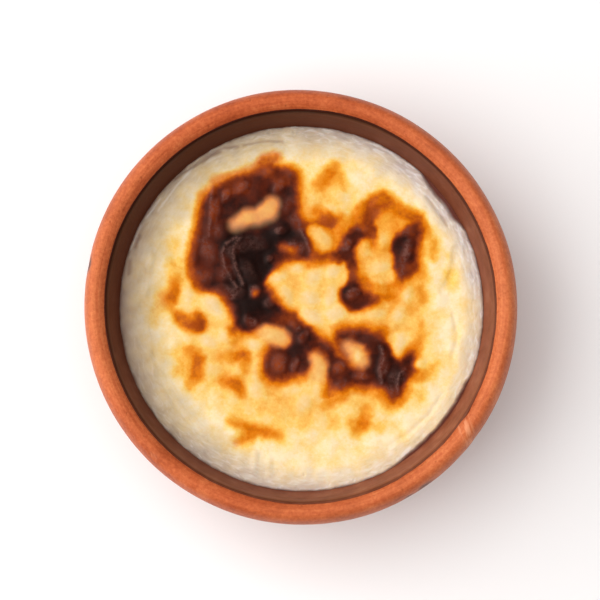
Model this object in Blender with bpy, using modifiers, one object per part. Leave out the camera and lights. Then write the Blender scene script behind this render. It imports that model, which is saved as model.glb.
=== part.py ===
"""Oven-baked rice pudding in its own small earthenware bowl.

The bowl is one thrown piece: a flat base, a round belly, a hollow under the
collar and a thick rounded lip. The pudding is one set solid that fills it to
a little over a centimetre below the lip. Its skin dips where it meets the
wall and is lumpy where rice grains lie just under it.

Metres, +Z up. The origin is the middle of the base, on the surface that the
bowl stands on.
"""

import math
import random

import bpy

MM = 0.001

# Driving dimensions of the bowl
RIM_RADIUS = 60.0 * MM
BOWL_HEIGHT = 48.0 * MM
FOOT_RADIUS = 38.5 * MM
FLOOR_THICKNESS = 7.0 * MM

# The lip is half of an oval on each side of its crest
CREST_RADIUS = 57.0 * MM
LIP_INNER_RADIUS = 53.3 * MM
LIP_OUTER_DROP = 5.5 * MM
LIP_INNER_DROP = 4.6 * MM
NECK_RADIUS = 58.0 * MM
NECK_DROP = 10.5 * MM
FOOT_EDGE = 1.6 * MM

# Driving dimensions of the pudding
FILL_DROP = 11.0 * MM
FILL_RADIUS = 51.2 * MM
GAP = 0.3 * MM
EDGE_DIP = 0.9 * MM
EDGE_WIDTH = 5.0 * MM

# Rice grains that lift the skin: half length, half width and height
GRAIN_HALF_LENGTH = 4.6 * MM
GRAIN_HALF_WIDTH = 2.3 * MM
GRAIN_LIFT = 1.0 * MM
GRAIN_COUNT = 190
GRAIN_SEED = 7

# Fineness of the turned shapes
TURN_STEPS = 84
SKIN_RINGS = 24

FILL_HEIGHT = BOWL_HEIGHT - FILL_DROP


def clear_scene():
    """Removes whatever the file starts with."""
    for old in list(bpy.data.objects):
        bpy.data.objects.remove(old, do_unlink=True)


def new_collection(name):
    """A collection of that name in the scene."""
    collection = bpy.data.collections.new(name)
    bpy.context.scene.collection.children.link(collection)
    return collection


def plain_material(name, colour, roughness):
    """A Principled material of one colour, with no metal in it."""
    material = bpy.data.materials.new(name)
    material.use_nodes = True
    shader = material.node_tree.nodes["Principled BSDF"]
    shader.inputs["Base Color"].default_value = (*colour, 1.0)
    shader.inputs["Roughness"].default_value = roughness
    shader.inputs["Metallic"].default_value = 0.0
    return material


def oval(centre, half_width, half_height, start, end, steps):
    """(radius, height) points along part of an oval, by angle in degrees."""
    points = []
    for step in range(steps + 1):
        angle = math.radians(start + (end - start) * step / steps)
        points.append(
            (
                centre[0] + half_width * math.cos(angle),
                centre[1] + half_height * math.sin(angle),
            )
        )
    return points


def sweep(start, leave, arrive, end, steps):
    """(radius, height) points along a cubic curve with two control points."""
    points = []
    for step in range(steps + 1):
        t = step / steps
        s = 1 - t
        points.append(
            tuple(
                s**3 * a + 3 * s * s * t * b + 3 * s * t * t * c + t**3 * d
                for a, b, c, d in zip(start, leave, arrive, end)
            )
        )
    return points


def inner_wall():
    """The bowl's inside from the fill level down to the middle of its floor."""
    floor = FLOOR_THICKNESS
    belly = sweep(
        (FILL_RADIUS, FILL_HEIGHT),
        (0.93 * FILL_RADIUS, 0.65 * FILL_HEIGHT),
        (0.84 * FILL_RADIUS, floor),
        (0.56 * FILL_RADIUS, floor),
        7,
    )
    return belly + [(0.0, floor)]


def lip():
    """The rounded lip, over its crest from the inner wall to the collar."""
    inner = oval(
        (CREST_RADIUS, BOWL_HEIGHT - LIP_INNER_DROP),
        CREST_RADIUS - LIP_INNER_RADIUS,
        LIP_INNER_DROP,
        172,
        90,
        4,
    )
    outer = oval(
        (CREST_RADIUS, BOWL_HEIGHT - LIP_OUTER_DROP),
        RIM_RADIUS - CREST_RADIUS,
        LIP_OUTER_DROP,
        90,
        0,
        4,
    )
    return inner + outer[1:]


def outer_wall():
    """The outside under the lip: the hollow neck, the belly and the foot."""
    neck = (NECK_RADIUS, BOWL_HEIGHT - NECK_DROP)
    collar = sweep(
        (RIM_RADIUS, BOWL_HEIGHT - LIP_OUTER_DROP),
        (RIM_RADIUS, BOWL_HEIGHT - 1.4 * LIP_OUTER_DROP),
        (NECK_RADIUS + 0.5 * MM, neck[1] + 1.5 * MM),
        neck,
        2,
    )
    belly = sweep(
        neck,
        (0.97 * NECK_RADIUS, 0.55 * neck[1]),
        (1.27 * FOOT_RADIUS, 0.20 * neck[1]),
        (FOOT_RADIUS + FOOT_EDGE, 1.2 * FOOT_EDGE),
        7,
    )
    foot = oval((FOOT_RADIUS, FOOT_EDGE), FOOT_EDGE, FOOT_EDGE, -10, -90, 2)
    return collar[1:] + belly[1:] + foot + [(0.0, 0.0)]


def inset(points, gap):
    """The same line moved by gap to its right, square to its direction."""
    moved = []
    for index, (radius, height) in enumerate(points):
        before = points[max(index - 1, 0)]
        after = points[min(index + 1, len(points) - 1)]
        run = after[0] - before[0]
        rise = after[1] - before[1]
        length = math.hypot(run, rise)
        moved.append((radius + gap * rise / length, height - gap * run / length))
    return moved


def turned(name, profile, material, collection):
    """A closed solid turned about the Z axis from a (radius, height) profile."""
    mesh = bpy.data.meshes.new(name)
    edges = [(index, index + 1) for index in range(len(profile) - 1)]
    mesh.from_pydata([(r, 0.0, z) for r, z in profile], edges, [])
    mesh.materials.append(material)
    solid = bpy.data.objects.new(name, mesh)
    collection.objects.link(solid)
    screw = solid.modifiers.new("turn", "SCREW")
    screw.steps = TURN_STEPS
    screw.render_steps = TURN_STEPS
    screw.use_merge_vertices = True
    screw.merge_threshold = 0.00001
    screw.use_smooth_shade = True
    return solid


def skin_level(radius):
    """Height of the smooth skin: level, then dipping where it meets the wall."""
    edge = FILL_RADIUS - GAP
    share = max(0.0, (radius - (edge - EDGE_WIDTH)) / EDGE_WIDTH)
    return FILL_HEIGHT + EDGE_DIP * (1 - share**2)


def scattered_grains():
    """Places and turns of the grains under the skin, spread by a seeded draw."""
    draw = random.Random(GRAIN_SEED)
    grains = []
    for _ in range(GRAIN_COUNT):
        radius = (FILL_RADIUS - EDGE_WIDTH) * math.sqrt(draw.random())
        place = math.tau * draw.random()
        turn = math.pi * draw.random()
        lift = GRAIN_LIFT * draw.uniform(0.4, 1.0)
        grains.append(
            (radius * math.cos(place), radius * math.sin(place), turn, lift)
        )
    return grains


def lift_over_grains(x, y, grains):
    """How far the highest grain below a point lifts the skin there."""
    highest = 0.0
    for grain_x, grain_y, turn, lift in grains:
        along = (x - grain_x) * math.cos(turn) + (y - grain_y) * math.sin(turn)
        across = (y - grain_y) * math.cos(turn) - (x - grain_x) * math.sin(turn)
        apart = (along / GRAIN_HALF_LENGTH) ** 2 + (across / GRAIN_HALF_WIDTH) ** 2
        if apart < 1:
            highest = max(highest, lift * (1 - apart) ** 2)
    return highest


def make_bowl(collection):
    """The earthenware bowl, from the middle of its floor over the lip to the base."""
    clay = plain_material("terracotta", (0.62, 0.20, 0.085), 0.8)
    inside = list(reversed(inner_wall()))
    return turned("bowl", inside + lip() + outer_wall(), clay, collection)


def make_pudding(collection):
    """The set pudding, a hair smaller than the bowl's inside, lumpy on top."""
    milk = plain_material("pudding", (0.86, 0.62, 0.33), 0.4)
    edge = FILL_RADIUS - GAP
    radii = [edge * ring / SKIN_RINGS for ring in range(SKIN_RINGS)]
    top = [(radius, skin_level(radius)) for radius in radii]
    side = inset(inner_wall(), GAP)
    side[-1] = (0.0, side[-1][1])
    solid = turned("pudding", top + side, milk, collection)

    graph = bpy.context.evaluated_depsgraph_get()
    mesh = bpy.data.meshes.new_from_object(solid.evaluated_get(graph))
    solid.modifiers.clear()
    solid.data = mesh
    grains = scattered_grains()
    for vertex in mesh.vertices:
        x, y, z = vertex.co
        if z > FILL_HEIGHT + 0.01 * MM:
            vertex.co.z = z + lift_over_grains(x, y, grains)
    return solid


def main():
    """Builds the bowl and the pudding in it."""
    clear_scene()
    dish = new_collection("rice_pudding")
    make_bowl(dish)
    make_pudding(dish)


main()
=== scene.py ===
import math

import bpy
import numpy as np
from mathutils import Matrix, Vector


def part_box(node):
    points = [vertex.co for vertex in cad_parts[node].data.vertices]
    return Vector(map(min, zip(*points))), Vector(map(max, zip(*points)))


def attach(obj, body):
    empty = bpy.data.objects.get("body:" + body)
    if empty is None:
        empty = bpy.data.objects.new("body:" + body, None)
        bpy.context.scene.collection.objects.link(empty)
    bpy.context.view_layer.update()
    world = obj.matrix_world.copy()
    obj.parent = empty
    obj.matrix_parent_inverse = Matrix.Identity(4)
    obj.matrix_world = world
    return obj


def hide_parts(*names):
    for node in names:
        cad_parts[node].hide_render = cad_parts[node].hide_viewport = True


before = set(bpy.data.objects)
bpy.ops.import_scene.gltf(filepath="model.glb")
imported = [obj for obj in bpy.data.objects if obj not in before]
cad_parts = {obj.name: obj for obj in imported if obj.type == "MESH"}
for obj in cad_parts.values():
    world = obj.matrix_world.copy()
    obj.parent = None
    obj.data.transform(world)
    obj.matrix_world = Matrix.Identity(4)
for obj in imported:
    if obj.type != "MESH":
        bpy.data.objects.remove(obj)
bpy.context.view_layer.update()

# ---------------- bowl
# A small bowl of red earthenware, thrown on a wheel and trimmed at the foot,
# then fired bare. A thick rounded lip stands over a shallow hollow neck, and
# the lip keeps the fine lines of the wheel and a few knocks, darker inside.
# Painted light: round the lip the clay is painted paler where it faces the light.

MM = 0.001
bowl_low, bowl_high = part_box("bowl")
RIM_RADIUS = (bowl_high.x - bowl_low.x) / 2 / MM
BOWL_HEIGHT = bowl_high.z / MM
FOOT_RADIUS = 38.5
FOOT_EDGE = 1.6
FLOOR_THICKNESS = 7.0
NECK_RADIUS = 58.0
NECK_HEIGHT = BOWL_HEIGHT - 10.5
CREST_RADIUS = 57.0
LIP_INNER_RADIUS = 53.3
LIP_OUTER_DROP = 5.5
LIP_INNER_DROP = 4.6
FILL_RADIUS = 51.2
FILL_HEIGHT = BOWL_HEIGHT - 11.0
TURN_STEPS = 400

# Painted light: how much paler the clay is painted where the lip faces the light, by angle round
# the bowl in degrees
RIM_LIGHT_ANGLES = list(range(0, 360, 30))
RIM_LIGHT = [1.0, 0.7, 0.4, 0.1, 0.15, 0.6, 1.0, 0.7, 0.1, 0.5, 0.7, 0.7]

# Out of round: how much wider the rim is than its mean, and in which direction
OVAL = 0.0072
OVAL_ANGLE = math.radians(120)

# Chips in the lip's outer edge: (angle, height, half length, half height, depth)
CHIPS = [
    (168.8, 45, 2.2, 1.6, 1.5), (-55.5, 44.4, 2.9, 1.6, 1), (-60.4, 43.8, 1.6, 1.2, 1),
]


def oval(centre, half_width, half_height, start, end, steps):
    """(radius, height) points along part of an oval, by angle in degrees."""
    points = []
    for step in range(steps + 1):
        angle = math.radians(start + (end - start) * step / steps)
        radius = centre[0] + half_width * math.cos(angle)
        points.append((radius, centre[1] + half_height * math.sin(angle)))
    return points


def sweep(start, leave, arrive, end, steps):
    """(radius, height) points along a cubic curve with two control points."""
    points = []
    for step in range(steps + 1):
        t = step / steps
        s = 1 - t
        weights = (s**3, 3 * s * s * t, 3 * s * t * t, t**3)
        corners = (start, leave, arrive, end)
        radius = sum(w * c[0] for w, c in zip(weights, corners))
        points.append((radius, sum(w * c[1] for w, c in zip(weights, corners))))
    return points


def line(start, end, steps):
    """(radius, height) points along a straight line, without its start."""
    return [
        (
            start[0] + (end[0] - start[0]) * step / steps,
            start[1] + (end[1] - start[1]) * step / steps,
        )
        for step in range(1, steps + 1)
    ]


def outside_profile():
    """The clay from the middle of the base, up the outside, to the lip's crest."""
    foot = oval((FOOT_RADIUS, FOOT_EDGE), FOOT_EDGE, FOOT_EDGE, -90, -10, 5)
    base = [(0.0, 0.0)] + line((0.0, 0.0), foot[0], 4)
    neck = (NECK_RADIUS, NECK_HEIGHT)
    belly = sweep(
        (FOOT_RADIUS + FOOT_EDGE, 1.2 * FOOT_EDGE),
        (1.27 * FOOT_RADIUS, 0.20 * NECK_HEIGHT),
        (0.97 * NECK_RADIUS, 0.55 * NECK_HEIGHT),
        neck,
        64,
    )
    collar = sweep(
        neck,
        (NECK_RADIUS + 0.5, NECK_HEIGHT + 1.5),
        (RIM_RADIUS, BOWL_HEIGHT - 1.4 * LIP_OUTER_DROP),
        (RIM_RADIUS, BOWL_HEIGHT - LIP_OUTER_DROP),
        10,
    )
    centre = (CREST_RADIUS, BOWL_HEIGHT - LIP_OUTER_DROP)
    shoulder = oval(centre, RIM_RADIUS - CREST_RADIUS, LIP_OUTER_DROP, 0, 90, 22)
    return base + foot[1:] + belly + collar[1:] + shoulder[1:]


def inside_profile():
    """The clay from the lip's crest, down the inside, to the middle of its floor."""
    centre = (CREST_RADIUS, BOWL_HEIGHT - LIP_INNER_DROP)
    lip = oval(centre, CREST_RADIUS - LIP_INNER_RADIUS, LIP_INNER_DROP, 90, 172, 18)
    wall = line(lip[-1], (FILL_RADIUS, FILL_HEIGHT), 14)
    belly = sweep(
        (FILL_RADIUS, FILL_HEIGHT),
        (0.93 * FILL_RADIUS, 0.65 * FILL_HEIGHT),
        (0.84 * FILL_RADIUS, FLOOR_THICKNESS),
        (0.56 * FILL_RADIUS, FLOOR_THICKNESS),
        14,
    )
    return lip + wall + belly[1:] + line(belly[-1], (0.0, FLOOR_THICKNESS), 2)


def measured(profile):
    """A profile's radii, heights, lengths from its start, and outward directions."""
    radii, heights = np.array(profile).T
    length = np.concatenate(([0], np.cumsum(np.hypot(np.diff(radii), np.diff(heights)))))
    return radii, heights, length, np.gradient(heights, length), -np.gradient(radii, length)


def fade(value, low, high):
    """0 below low, 1 above high and a smooth step between."""
    share = np.clip((value - low) / (high - low), 0, 1)
    return share * share * (3 - 2 * share)


def noise(across, around, seed, turns=64):
    """Smooth noise of about -1 to 1 on unit cells, repeating every so many turns."""
    draw = np.random.default_rng(seed)
    slope = draw.random((64, turns)) * math.tau
    left = np.floor(across).astype(int)
    low = np.floor(around).astype(int)
    x = across - left
    y = around - low
    fade_x = x**3 * (x * (6 * x - 15) + 10)
    fade_y = y**3 * (y * (6 * y - 15) + 10)
    corners = []
    for step_x in (0, 1):
        for step_y in (0, 1):
            angle = slope[(left + step_x) % 64, (low + step_y) % turns]
            corners.append((x - step_x) * np.cos(angle) + (y - step_y) * np.sin(angle))
    near = corners[0] + fade_y * (corners[1] - corners[0])
    far = corners[2] + fade_y * (corners[3] - corners[2])
    return 1.5 * (near + fade_x * (far - near))


def around_bowl(angle, cells, seed):
    """Noise that goes once round the bowl in a whole number of cells."""
    return noise(np.zeros_like(angle), angle / math.tau * cells, seed, cells)


def named_piece(name):
    """The primitive just added, under the name of the piece that it becomes."""
    piece = bpy.context.object
    piece.name = name
    piece.data.name = name
    return piece


def closed():
    """Turns all faces of the piece being edited outwards, smooth, and ends the edit."""
    bpy.ops.mesh.select_all(action="SELECT")
    bpy.ops.mesh.normals_make_consistent(inside=False)
    bpy.ops.mesh.faces_shade_smooth()
    bpy.ops.object.mode_set(mode="OBJECT")


def thrown(name, profile, steps):
    """A closed solid thrown on the wheel: a line drawn point by point, then spun."""
    bpy.ops.object.select_all(action="DESELECT")
    bpy.ops.mesh.primitive_plane_add(size=MM)
    piece = named_piece(name)
    bpy.ops.object.mode_set(mode="EDIT")
    bpy.ops.mesh.merge(type="CENTER")
    start = (profile[0][0] * MM, 0, profile[0][1] * MM)
    bpy.ops.transform.translate(value=start)
    for (radius, height), (new_radius, new_height) in zip(profile, profile[1:]):
        step = ((new_radius - radius) * MM, 0, (new_height - height) * MM)
        bpy.ops.mesh.extrude_vertices_move(TRANSFORM_OT_translate={"value": step})
    bpy.ops.mesh.select_all(action="SELECT")
    bpy.ops.mesh.spin(
        steps=steps, angle=math.tau, center=(0, 0, 0), axis=(0, 0, 1), dupli=False
    )
    bpy.ops.mesh.select_all(action="SELECT")
    bpy.ops.mesh.remove_doubles(threshold=0.002 * MM)
    closed()
    return piece


def read_points(piece):
    """The piece's points as three arrays in mm."""
    flat = np.empty(len(piece.data.vertices) * 3)
    piece.data.vertices.foreach_get("co", flat)
    return (flat.reshape(-1, 3) / MM).T


def write_points(piece, x, y, z):
    """Moves the piece's points to new places in mm."""
    flat = np.stack((x, y, z), axis=1).ravel() * MM
    piece.data.vertices.foreach_set("co", flat)
    piece.data.update()


def mark(piece, name, values):
    """A value for each point of the piece, for its material to read."""
    attribute = piece.data.attributes.new(name, "FLOAT", "POINT")
    attribute.data.foreach_set("value", np.clip(values, 0, 1).astype(np.float32))


def out_of_round(x, y, z):
    """Where a point of the true circle lies in the bowl as thrown: a little oval."""
    angle = np.arctan2(y, x)
    height = z / BOWL_HEIGHT
    wider = 1 + OVAL * np.cos(2 * (angle - OVAL_ANGLE)) * height
    wider = wider + 0.0016 * around_bowl(angle, 5, 3) * height
    rise = 0.14 * around_bowl(angle, 4, 5) * height**3
    return x * wider, y * wider, z + rise


def bump_at(angle, level, place, height, half_length, half_height):
    """1 at a place in degrees and mm up the wall, fading to 0 over its size in mm."""
    turn = np.angle(np.exp(1j * (angle - math.radians(place))))
    around = (turn * RIM_RADIUS / half_length) ** 2
    return np.exp(-around - ((level - height) / half_height) ** 2)


def make_bowl():
    """The thrown bowl, with wheel lines outside and knocks in its lip."""
    profile = outside_profile() + inside_profile()[1:]
    bowl = thrown("bowl_clay", profile, TURN_STEPS)
    x, y, z = read_points(bowl)
    radius = np.hypot(x, y)
    angle = np.arctan2(y, x)

    # How far along the profile each point lies, and which way is out there
    radii, heights, length, out_r, out_z = measured(profile)
    apart = (radius[:, None] - radii) ** 2 + (z[:, None] - heights) ** 2
    nearest = apart.argmin(axis=1)
    along = length[nearest]

    crest = length[len(outside_profile()) - 1]
    belly = np.clip((z - 1.5) / 3, 0, 1) * (along < crest - 12)
    lip = np.exp(-(((along - crest) / 7) ** 2))
    turns = angle / math.tau
    rings = 0.11 * noise(along / 2.7, turns * 6, 11, 6)
    rings = rings + 0.05 * noise(along / 1.1, turns * 10, 12, 10)
    lines = 0.022 * noise(along / 0.55, turns * 30, 13, 30)
    swell = 0.09 * noise(along / 6, turns * 16, 14, 16)
    out = belly * rings + lip * lines + swell * np.clip(z / 4, 0, 1)

    # A dragged patch across the lip, and chips along its outer edge
    slant = np.degrees(angle) + 37.3 - 0.42 * (along - crest)
    across = np.exp(-(((along - crest) / 6.5) ** 4))
    drag = across * np.exp(-((slant / 2.4) ** 2))
    groove = across * np.exp(-(((slant - 3.0) / 1.2) ** 2))
    out = out + 0.14 * drag - 0.18 * groove
    chips = sum(depth * bump_at(angle, z, *chip) for *chip, depth in CHIPS)
    chips = np.clip(chips, 0, 1) * (along < crest)
    nick = bump_at(angle, along, -134, crest - 1.0, 0.9, 0.7)
    out = out - 0.2 * chips - 0.3 * nick

    x = x + np.cos(angle) * out_r[nearest] * out
    y = y + np.sin(angle) * out_r[nearest] * out
    z = z + out_z[nearest] * out
    z = np.where(z < 0.02, 0, z)
    x, y, z = out_of_round(x, y, z)
    write_points(bowl, x, y, z)
    # The chips are coloured darker inside, with a ragged edge
    ragged = 1 + 0.6 * noise(turns * 120, z / 1.2, 16)
    mark(bowl, "chip_darkening", fade(chips * ragged, 0.15, 0.9))
    mark(bowl, "drag", drag + nick)
    # Painted light: the rim is painted paler by angle where it faces the light
    mark(bowl, "painted_rim_light", np.interp(np.degrees(angle), RIM_LIGHT_ANGLES, RIM_LIGHT, period=360))
    return bowl


def linear(colour):
    """A linear colour from an sRGB hex value such as "cd794e"."""
    parts = [int(colour[place : place + 2], 16) / 255 for place in (0, 2, 4)]
    return tuple(
        part / 12.92 if part <= 0.04045 else ((part + 0.055) / 1.055) ** 2.4
        for part in parts
    ) + (1.0,)


def plug(material, made, links):
    """Sets a node's inputs, each to a number, a colour or another node's output."""
    for name, value in links.items():
        key = int(name[1:]) if name[0] == "_" else name
        if isinstance(value, bpy.types.NodeSocket):
            material.node_tree.links.new(value, made.inputs[key])
        else:
            made.inputs[key].default_value = value


def node(material, kind, output=None, settings=None, stops=(), **links):
    """Adds a node and gives one of its outputs, or all; stops are a ramp's colours."""
    made = material.node_tree.nodes.new("ShaderNode" + kind)
    for name, value in (settings or {}).items():
        setattr(made, name, value)
    for _ in stops[2:]:
        made.color_ramp.elements.new(0.5)
    for index, (position, colour) in enumerate(stops):
        made.color_ramp.elements[index].position = position
        made.color_ramp.elements[index].color = linear(colour)
    plug(material, made, links)
    return made.outputs if output is None else made.outputs[output]


ADD = {"operation": "ADD"}
MULTIPLY = {"operation": "MULTIPLY"}
SCALE = {"operation": "SCALE"}
LENGTH = {"operation": "LENGTH"}
COVER = {"data_type": "RGBA"}
SOFT_LIGHT = {"data_type": "RGBA", "blend_type": "SOFT_LIGHT"}


def new_material(name):
    """An empty node material with its surface shader, and that shader."""
    material = bpy.data.materials.new(name)
    material.use_nodes = True
    return material, material.node_tree.nodes["Principled BSDF"]


def fired_earthenware():
    """Bare red clay: dry and matt, cloudy, gritty, with fine lines of the wheel."""
    clay, shader = new_material("fired_earthenware")
    place = node(clay, "TexCoord", "Object")
    height = node(clay, "SeparateXYZ", "Z", Vector=place)
    level = node(clay, "VectorMath", 0, MULTIPLY, _0=place, _1=(1, 1, 0))
    radius = node(clay, "VectorMath", "Value", LENGTH, _0=level)
    painted_rim_light, chip_dark, drag = (
        node(clay, "Attribute", "Fac", {"attribute_name": name})
        for name in ("painted_rim_light", "chip_darkening", "drag")
    )

    # Wheel lines: they change fast up the wall and across the lip, slowly round it
    across = node(clay, "Math", 0, ADD, _0=radius, _1=height)
    across = node(clay, "Math", 0, MULTIPLY, _0=across, _1=2.2)
    around = node(clay, "VectorMath", 0, SCALE, _0=level, Scale=0.09)
    around = node(clay, "SeparateXYZ", Vector=around)
    wheel = node(clay, "CombineXYZ", 0, X=across, Y=around["X"], Z=around["Y"])
    noises = {}
    for name, vector, size, detail, roughness in (
        ("lines", wheel, 1.6 * MM, 3.0, 0.6),
        ("cloud", place, 11 * MM, 5.0, 0.68),
        ("grit", place, 0.9 * MM, 3.0, 0.7),
    ):
        noises[name] = node(
            clay, "TexNoise", "Fac",
            Vector=vector, Scale=1 / size, Detail=detail, Roughness=roughness,
        )
    lines = noises["lines"]
    grit = noises["grit"]

    # Small pits where grit came out, and the scratches of the dragged patch
    pits = node(
        clay, "TexVoronoi", "Distance", Vector=place, Scale=1 / (3.4 * MM), Randomness=1.0
    )
    stops = [(0.0, "ffffff"), (0.06, "cccccc"), (0.14, "000000")]
    pit = node(clay, "ValToRGB", "Color", stops=stops, _0=pits)
    dragged = node(
        clay, "Mapping", 0, {"vector_type": "TEXTURE"},
        Vector=place, Rotation=(0, 0, math.radians(17.5)), Scale=(0.8 * MM, 7 * MM, 3 * MM),
    )
    scratches = node(
        clay, "TexNoise", "Fac", Vector=dragged, Scale=1.0, Detail=2.0, Roughness=0.5
    )
    stops = [(0.40, "000000"), (0.50, "808080"), (0.60, "ffffff")]
    scratch = node(clay, "ValToRGB", "Color", stops=stops, _0=scratches)

    stops = [(0.32, "9c3e1d"), (0.44, "af4d27"), (0.56, "b8552d"), (0.68, "c7673b")]
    colour = node(clay, "ValToRGB", "Color", stops=stops, _0=noises["cloud"])
    # Painted light: the clay is made paler where the lip faces the light
    pale = node(clay, "Math", 0, MULTIPLY, _0=painted_rim_light, _1=0.4)
    hollow = node(clay, "Math", 0, MULTIPLY, _0=pit, _1=0.45)
    scraped = node(clay, "Math", 0, MULTIPLY, _0=drag, _1=scratch)
    for mixing, share, coat in (
        (COVER, pale, linear("e08452")),
        (SOFT_LIGHT, 0.6, lines),
        (SOFT_LIGHT, 0.85, grit),
        (COVER, hollow, linear("8a3f22")),
        (COVER, chip_dark, linear("4a1c10")),
        (COVER, scraped, linear("dd8d64")),
    ):
        colour = node(clay, "Mix", 2, mixing, _0=share, _6=colour, _7=coat)
    fine = node(clay, "Bump", 0, Strength=0.8, Distance=0.16 * MM, Height=grit)
    turned = node(
        clay, "Bump", 0, Strength=0.5, Distance=0.16 * MM, Height=lines, Normal=fine
    )
    sunk = node(
        clay, "Bump", 0, {"invert": True},
        Strength=0.8, Distance=0.2 * MM, Height=pit, Normal=turned,
    )
    plug(clay, shader, {
        "Base Color": colour,
        "Normal": sunk,
        "Roughness": 0.52,
        "IOR": 1.5,
        "Specular IOR Level": 0.8,
        "Specular Tint": (1.0, 0.5, 0.28, 1.0),
    })
    return clay


bowl = make_bowl()
bowl.data.materials.append(fired_earthenware())
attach(bowl, "root")
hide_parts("bowl")

# ---------------- glaze
# The inside is coated with one thin layer of clear lead-free glaze, poured in
# and out before firing. It darkens the clay to a wet brown and ends in an
# uneven line under the lip, where it stands in a thin dark bead.

GLAZE_THICKNESS = 0.25
GLAZE_ROOT = 0.12
GLAZE_LINE = 3.55


def make_glaze():
    """A closed coat on the inside of the bowl, with a bead along its upper edge."""
    radii, heights, length, out_r, out_z = measured(inside_profile())

    # The coat as (distance from the crest, height over the clay), down and back up
    face = [(0.0, -GLAZE_ROOT), (0.05, 0.10), (0.2, 0.26), (0.45, 0.34), (0.8, 0.30)]
    face = [(GLAZE_LINE + down, up) for down, up in face]
    down = GLAZE_LINE + 1.2
    while down < length[-1]:
        face.append((down, GLAZE_THICKNESS))
        down += 0.35 if down < 14 else 4.0
    face.append((length[-1], GLAZE_THICKNESS))
    back = [(length[-1], -GLAZE_ROOT), (16.0, -GLAZE_ROOT), (9.0, -GLAZE_ROOT)]
    section = list(reversed(face)) + list(reversed(back))

    # Thrown as a stack of numbered rings, then each ring is laid on the wall
    stack = [(20.0, float(place)) for place in range(len(section) - 1)]
    stack = [(0.0, 0.0)] + stack[1:] + [(0.0, float(len(section) - 1))]
    glaze = thrown("glaze_coat", stack, 360)
    x, y, z = read_points(glaze)
    angle = np.arctan2(y, x)
    ring = np.rint(z).astype(int)
    down, up = np.array(section)[ring].T

    # The poured edge wanders, most of all low on the right where it ran
    wander = 0.35 * around_bowl(angle, 5, 21) + 0.22 * around_bowl(angle, 17, 22)
    rough = 0.16 * around_bowl(angle, 60, 23) + 0.10 * around_bowl(angle, 140, 24)
    low_right = np.clip(np.cos(angle + math.radians(50)), 0, 1)
    near_edge = np.clip(1 - (down - GLAZE_LINE) / 3, 0, 1)
    down = down + near_edge * (wander + rough * (0.4 + low_right))
    down = down - 0.3 * near_edge * np.cos(angle - math.radians(300))
    down = down - 0.2 * near_edge * (1 + np.cos(2 * angle - math.radians(190)))
    up = up * (1 + 0.35 * near_edge * around_bowl(angle, 40, 25))
    wheel = 0.05 * noise(down / 1.9, angle / math.tau * 8, 26, 8) * (up > 0)
    out = up + wheel
    radius = np.interp(down, length, radii) + np.interp(down, length, out_r) * out
    radius = np.maximum(radius, 0)
    height = np.interp(down, length, heights) + np.interp(down, length, out_z) * out
    middle = (ring == 0) | (ring == len(section) - 1)
    radius = np.where(middle, 0, radius)
    x, y, z = out_of_round(radius * np.cos(angle), radius * np.sin(angle), height)
    write_points(glaze, x, y, z)
    # Painted shade: the coat is darkened towards the upper left, where the wall lies in shade.
    # There the bead is painted wider and darker as a shadow line; elsewhere it is the glaze's own
    # thin dark edge
    upper_left_shade = 0.5 + 0.5 * np.cos(angle - math.radians(125))
    bead = np.clip(1 - (down - GLAZE_LINE - 0.7 * upper_left_shade) / (0.5 + 0.6 * upper_left_shade), 0, 1)
    mark(glaze, "bead", bead * (0.5 + 0.5 * upper_left_shade))
    mark(glaze, "upper_left_shade", upper_left_shade)
    return glaze


def clear_glaze():
    """Clear glaze over red clay: a dark wet brown, softly glossy, a little uneven, painted darker
    still on the shaded upper left.
    """
    glass, shader = new_material("clear_glaze_on_red_clay")
    place = node(glass, "TexCoord", "Object")
    painted_shade, bead = (
        node(glass, "Attribute", "Fac", {"attribute_name": name}) for name in ("upper_left_shade", "bead")
    )
    cloud = node(
        glass, "TexNoise", "Fac", Vector=place, Scale=1 / (5 * MM), Detail=4.0, Roughness=0.6
    )
    stops = [(0.3, "80442a"), (0.55, "945439"), (0.75, "a4664a")]
    colour = node(glass, "ValToRGB", "Color", stops=stops, _0=cloud)
    # Painted shade on the upper left, then the bead, partly a painted shadow line
    for share, coat in ((painted_shade, "5c2c18"), (bead, "300c02")):
        colour = node(glass, "Mix", 2, COVER, _0=share, _6=colour, _7=linear(coat))
    skin = node(
        glass, "TexNoise", "Fac", Vector=place, Scale=1 / (1.4 * MM), Detail=2.0, Roughness=0.5
    )
    orange_peel = node(glass, "Bump", 0, Strength=0.25, Distance=0.08 * MM, Height=skin)
    plug(glass, shader, {
        "Base Color": colour,
        "Normal": orange_peel,
        "Roughness": 0.5,
        "IOR": 1.4,
        "Specular IOR Level": 0.25,
    })
    return glass


glaze = make_glaze()
glaze.data.materials.append(clear_glaze())
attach(glaze, "root")

# ---------------- pudding
# Milk and short rice, set and then browned under a very hot fire. The skin
# lies over the grains, which lift it in soft lumps, and it has scorched in
# patches from gold to almost black. At the wall it is a thin wet film.

SKIN_RADIUS = 51.1
SKIN_TOP = FILL_HEIGHT + 0.9
SKIN_DIP_START = 45.5
GRID_STEPS = 280
WALL_GAP = 0.1
BASE_RADIUS = 5.0
PEACH_GRAINS = 5
GRAIN_COUNT = 175
GRAIN_SEED = 19
GRAIN_REACH = 46.5
GRAIN_SPACING = 6.4

# The scorch is laid out a little larger and higher than it lies on the skin
PATTERN_SCALE = 1.02
PATTERN_RISE = 0.5

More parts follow.
